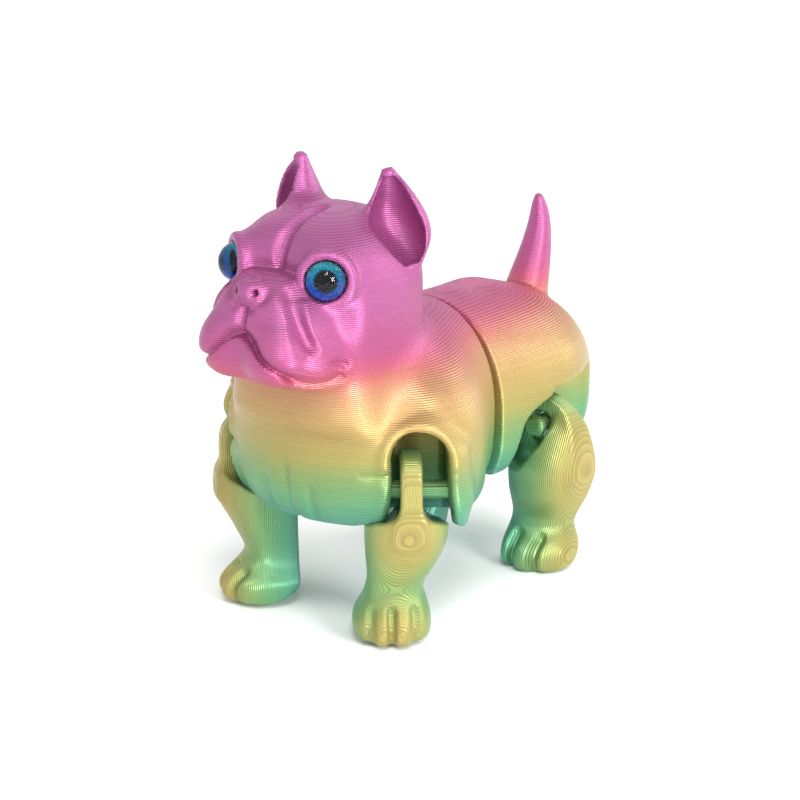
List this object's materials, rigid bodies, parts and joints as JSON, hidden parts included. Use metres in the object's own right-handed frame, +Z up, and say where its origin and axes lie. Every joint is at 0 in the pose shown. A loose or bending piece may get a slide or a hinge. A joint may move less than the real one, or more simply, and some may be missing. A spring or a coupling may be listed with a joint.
{
  "type": "jointed bulldog figure",
  "caption": "Print-in-place bulldog figure with a turning waist, legs that swing out on bars across their sockets, and domed glass eyes.",
  "frame": {"origin": "on the ground, under the middle of the figure's length and width", "axes": "the dog faces -Y, its left side is +X, +Z up"},
  "size_m": [0.044, 0.0795, 0.0702],
  "materials": {
    "printed_body": "layered silk filament that fades from teal at the belly through green, gold and pink to mauve",
    "printed_leg": "layered silk filament, fading from green through yellow to peach",
    "printed_pin": "layered silk filament, light green",
    "eye_glass": "clear polished glass",
    "eye_iris": "printed blue iris with a black pupil"
  },
  "bodies": {
    "front_half": {"front_shell": "printed_body", "waist_pin": "printed_pin", "front_left_hinge_bar": "printed_pin", "front_right_hinge_bar": "printed_pin", "left_eye_lens": "eye_glass", "right_eye_lens": "eye_glass", "left_eye_iris": "eye_iris", "right_eye_iris": "eye_iris"},
    "rear_half": {"rear_shell": "printed_body", "waist_link": "printed_pin", "rear_left_hinge_bar": "printed_pin", "rear_right_hinge_bar": "printed_pin"},
    "front_left_limb": {"front_left_leg": "printed_leg"},
    "front_right_limb": {"front_right_leg": "printed_leg"},
    "rear_left_limb": {"rear_left_leg": "printed_leg"},
    "rear_right_limb": {"rear_right_leg": "printed_leg"}
  },
  "joints": [
    {"name": "waist_turn", "type": "hinge", "parent": "front_half", "child": "rear_half", "pos_m": [0, -0.001, 0.029], "axis": [0, 0, 1], "range_deg": [-6, 6]},
    {"name": "front_left_leg_swing", "type": "hinge", "parent": "front_half", "child": "front_left_limb", "pos_m": [0.01486, -0.01733, 0.0235], "axis": [-0.766, -0.6428, 0], "range_deg": [0, 65]},
    {"name": "front_right_leg_swing", "type": "hinge", "parent": "front_half", "child": "front_right_limb", "pos_m": [-0.01486, -0.01733, 0.0235], "axis": [-0.766, 0.6428, 0], "range_deg": [0, 65]},
    {"name": "rear_left_leg_swing", "type": "hinge", "parent": "rear_half", "child": "rear_left_limb", "pos_m": [0.0125, 0.021, 0.0235], "axis": [0, -1, 0], "range_deg": [0, 65]},
    {"name": "rear_right_leg_swing", "type": "hinge", "parent": "rear_half", "child": "rear_right_limb", "pos_m": [-0.0125, 0.021, 0.0235], "axis": [0, 1, 0], "range_deg": [0, 65]}
  ]
}
